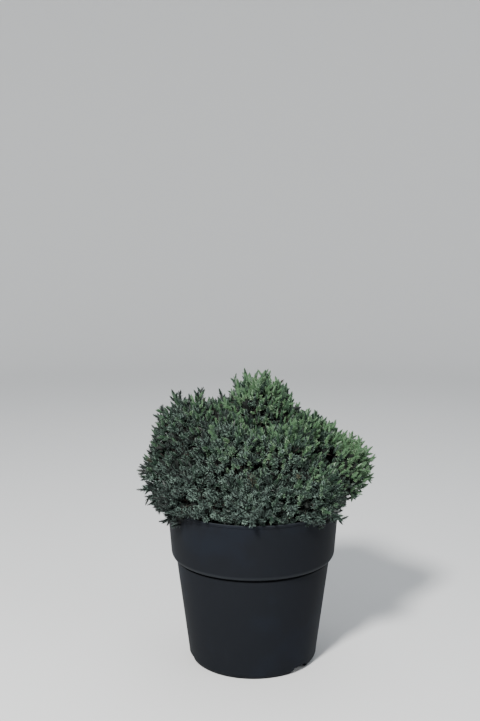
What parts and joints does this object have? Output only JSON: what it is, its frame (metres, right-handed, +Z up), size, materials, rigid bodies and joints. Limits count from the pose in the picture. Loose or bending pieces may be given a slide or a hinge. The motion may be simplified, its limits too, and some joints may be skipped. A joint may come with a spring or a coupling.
{
  "type": "blue star juniper in a nursery pot",
  "caption": "Low, mounded dwarf conifer with dense blue-green needle foliage on short upturned shoots, growing in a round dark plastic nursery pot with a wide rim collar.",
  "frame": {"origin": "centre of the pot's flat underside, at the level of the surface that it stands on", "axes": "+Z up along the pot's axis; -Y towards the side that the plant is usually seen from; +X to the right from there, where the longest arm of foliage reaches out"},
  "size_m": [0.358, 0.3184, 0.4356],
  "materials": {
    "pot": "charcoal moulded polypropylene, satin, slightly dusty and scuffed",
    "soil": "moist dark brown potting mix",
    "bark": "thin, flaking grey-brown bark",
    "foliage": "waxy blue-green needles with a silvery bloom, greener at the lit tips"
  },
  "bodies": {
    "root": {"pot": "pot", "soil": "soil", "stem": "bark", "bough_upper_left": "bark", "bough_upper_front_left": "bark", "bough_upper_front_right": "bark", "bough_upper_right": "bark", "bough_upper_back_right": "bark", "bough_upper_back_left": "bark", "bough_left": "bark", "bough_front_left": "bark", "bough_front": "bark", "bough_front_right": "bark", "bough_right": "bark", "bough_back_right": "bark", "bough_back": "bark", "bough_back_left": "bark", "foliage_top": "foliage", "foliage_upper_left": "foliage", "foliage_upper_front_left": "foliage", "foliage_upper_front_right": "foliage", "foliage_upper_right": "foliage", "foliage_upper_back_right": "foliage", "foliage_upper_back_left": "foliage", "foliage_left": "foliage", "foliage_front_left": "foliage", "foliage_front": "foliage", "foliage_front_right": "foliage", "foliage_right": "foliage", "foliage_back_right": "foliage", "foliage_back": "foliage", "foliage_back_left": "foliage"}
  },
  "joints": []
}
